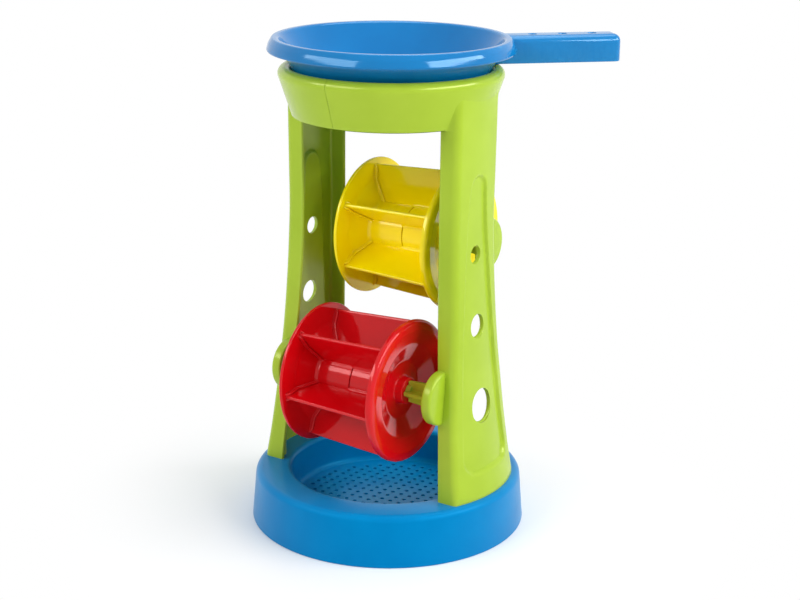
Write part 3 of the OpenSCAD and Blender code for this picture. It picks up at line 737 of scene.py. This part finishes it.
def paddle():
    """Plate between the discs, drawn at angle 0: rows go from the thin disc to the thick one, columns go out
    along one side, round the outer edge and back along the other."""
    near_disc = 1 - np.array([0.06, 0.035, 0.025, 0.018, 0.012, 0.007, 0.003, 0])
    along = np.concatenate([np.linspace(0, 0.9, 19), near_disc])
    out = np.concatenate([[0, 0.015, 0.025, 0.035, 0.045, 0.06, 0.08], np.linspace(0.12, 1, 14)])
    s, q = along[:, None], out[None, :]
    soft, hub_fillet, disc_fillet = 0.7, 1.6, 1.4
    edge = 39 + 3 * s
    radius = paddle_root + q * (edge - soft - paddle_root)
    x = -disc_face(radius) + 0.1 + s * (2 * disc_face(radius) + 0.4)
    at_hub, at_disc = quarter(radius - hub, hub_fillet) * (x > 0), quarter(disc_face(radius) - x, disc_fillet)
    thick = 1 + np.maximum(at_hub, at_disc)
    bend = np.radians(np.linspace(90, 0, 5))[None, 1:]
    edge_radius = edge - soft + soft * np.cos(bend)
    edge_thick = thick[:, -1:] - soft + soft * np.sin(bend)
    edge_x = np.broadcast_to(x[:, -1:], edge_radius.shape)
    radius = np.concatenate([radius, edge_radius], 1)
    thick = np.concatenate([thick, edge_thick], 1)
    x = np.concatenate([x, edge_x], 1)
    front, back = np.stack([x, radius, thick], -1), np.stack([x, radius, -thick], -1)
    return np.concatenate([front, back[:, ::-1]], 1)


def guides():
    """Pair of ribs on the thin disc, drawn at angle 0: a rounded section carried outwards, whose height
    falls off as a quarter ellipse at the end."""
    bend_start, bend, height, half, apart = 35.5, 3.5, 2.4, 0.6, 1.7
    end = bend_start + bend * np.sin(np.linspace(0.15, 1, 9) * np.pi / 2)
    reach = np.concatenate([np.linspace(paddle_root, bend_start, 16), end])
    fall = np.maximum(reach - bend_start, 0) / bend
    tall = (height * np.sqrt(np.clip(1 - fall ** 2, 0, 1)) + 0.02)[:, None]
    section = rounded([(-half, -half), (-half, 1), (half, 1), (half, -half)], [0, 0.35, 0.35, 0], 4)
    across, share = section[None, :, 0], section[None, :, 1]
    x = -disc_face(reach)[:, None] + np.where(share > 0, share * tall, -half)
    radius = np.broadcast_to(reach[:, None], x.shape)
    return [np.stack(np.broadcast_arrays(x, radius, across + side * apart), -1) for side in (-1, 1)]


# %% Wheel pieces
def spun(points, angle):
    """Turns points (x, out, across) of a paddle to its angle about the axle, from Y towards Z."""
    turn = np.radians(angle)
    return np.stack([points[..., 0], points[..., 1] * np.cos(turn) - points[..., 2] * np.sin(turn),
                     points[..., 1] * np.sin(turn) + points[..., 2] * np.cos(turn)], -1)


wheel_shift = 0.8


def wheel(name, first_angle, finish):
    """Both mouldings of a wheel, put on its axle."""
    place = np.array([wheel_shift, *axles[name]])
    angles = first_angle + 60 * np.arange(6)
    thick = along_x(wheel_disc(thick_rim))
    thin = along_x(wheel_disc(thin_rim)) * (-1, 1, 1)
    plates = [closed_tube(spun(paddle(), angle) + place) for angle in angles]
    ribs = [closed_tube(spun(rib, angle) + place) for angle in angles for rib in guides()]
    make_piece(name + "_wheel_paddles", [skin(thick + place, ring_rows=True, ring_columns=True)] + plates,
               finish, name + "_wheel")
    make_piece(name + "_wheel_disc", [skin(thin + place, ring_rows=True, ring_columns=True)] + ribs,
               finish, name + "_wheel")


wheel("upper", 30, yellow_plastic)
wheel("lower", 8.5, red_plastic)

# %% [markdown]
# ## Sieve dish
# The dish is turned as the base is: a sieve floor, a leaning wall that rests on the collar's
# round edge, and a deep rolled rim. Its handle is a hollow box with soft edges that grows out
# of the leaning wall. The handle's surface is a plan outline, a rectangle with rounded
# corners, that widens over the top edge and is drawn smaller again inside.

# %% Dish and handle
dish_outline = rounded(
    [(15, 261.9), (45.88, 261.9), (66.2, 299.2), (69.9, 299.2), (71.9, 296), (73, 292.2), (72.6, 291.2),
     (64.53, 292.4), (47.33, 259.5), (15, 259.5)],
    [0, 3.6, 2.6, 1.3, 9, 0.6, 0.5, 0.8, 6, 0], 8)
dish_shell = closed_tube(turned(dish_outline, steps=240))
dish_sieve = sieve_holes(9, 3, 41.7, 256, 266)


def handle():
    """Hollow handle along +X: plan outlines of one point count, stacked by inset and height, from the
    top's middle over the side, under the lower edge and up again inside. Both start on the leaning wall."""
    turn = np.radians(np.linspace(90, 0, 9))
    top, low, end, half, soft, wall, lean = 299.12, 283.0, 138, 9, 4.5, 2.4, 0.5228
    inner_soft = soft - wall
    over = np.stack([soft - soft * np.cos(turn), top - soft + soft * np.sin(turn)], -1)
    outside = np.concatenate([over, [(0, low + 0.4), (0.12, low + 0.12), (0.4, low)]])
    back_turn = turn[::-1]
    under = np.stack([soft - inner_soft * np.cos(back_turn), top - soft + inner_soft * np.sin(back_turn)], -1)
    inside = np.concatenate([[(wall - 0.4, low), (wall - 0.12, low + 0.12), (wall, low + 0.4)], under])
    rows = []
    for sheet, root in ((outside, 58.3), (inside, 61.2)):
        for inset, height in sheet:
            back, front, side = root + (height - low) * lean, end - inset, half - inset
            bend = max(soft - inset, 0.4)
            plan = rounded([(back, -side), (front, -side), (front, side), (back, side)],
                           [0.02, bend, bend, 0.02], 8)
            rows.append(np.concatenate([plan, np.full((len(plan), 1), height)], 1))
    return closed_tube(np.array(rows))


def handle_holes():
    """Three round cutters through the handle's top, a little wider at the surface."""
    outline = [(2.5, 290), (2.5, 298.6), (2.65, 298.9), (3.0, 299.3), (3.0, 303)]
    return joined([closed_tube(turned(outline, steps=40) + (place, 0, 0)) for place in (85, 103.4, 121.8)])


handle_points, handle_corners, handle_sizes = drilled(handle(), handle_holes())
half_root = np.sqrt(0.5)
towards_back = np.array([(half_root, half_root, 0), (-half_root, half_root, 0), (0, 0, 1)])
dish = [drilled(dish_shell, dish_sieve), (handle_points @ towards_back, handle_corners, handle_sizes)]
make_piece("sieve_dish", dish, blue_plastic, "dish")

# %% [markdown]
# ## Screws
# Four small screws under the ring hold the feet. Their CAD shape is right as it is, so they
# only get a finish: plated steel with fine turning marks, which are noise squeezed along Z.

# %% Steel
steel = bpy.data.materials.new("plated_steel")
steel.use_nodes = True
steel_tree = steel.node_tree
steel_shader = steel_tree.nodes["Principled BSDF"]
steel_shader.inputs["Metallic"].default_value = 1
steel_shader.inputs["Roughness"].default_value = 0.32
squeeze = steel_tree.nodes.new("ShaderNodeMapping")
squeeze.inputs["Scale"].default_value = (1, 1, 30)
steel_place = steel_tree.nodes.new("ShaderNodeTexCoord")
steel_tree.links.new(steel_place.outputs["Object"], squeeze.inputs["Vector"])
marks = noise(steel_tree, squeeze.outputs["Vector"], 180, 4)
plating = ramp(steel_tree, marks, 0.3, 0.7, linear(168, 170, 174), linear(204, 206, 208))
steel_tree.links.new(plating, steel_shader.inputs["Base Color"])
steel_tree.links.new(bump(steel_tree, marks, 0.2, 0.1 * MM), steel_shader.inputs["Normal"])
screws = [frame["nodes"][f"foot_screw_{number}"] for number in (1, 2, 3, 4)]
for screw in screws:
    for slot in screw.material_slots:
        slot.material = steel
print("screws:", [screw.name for screw in screws])
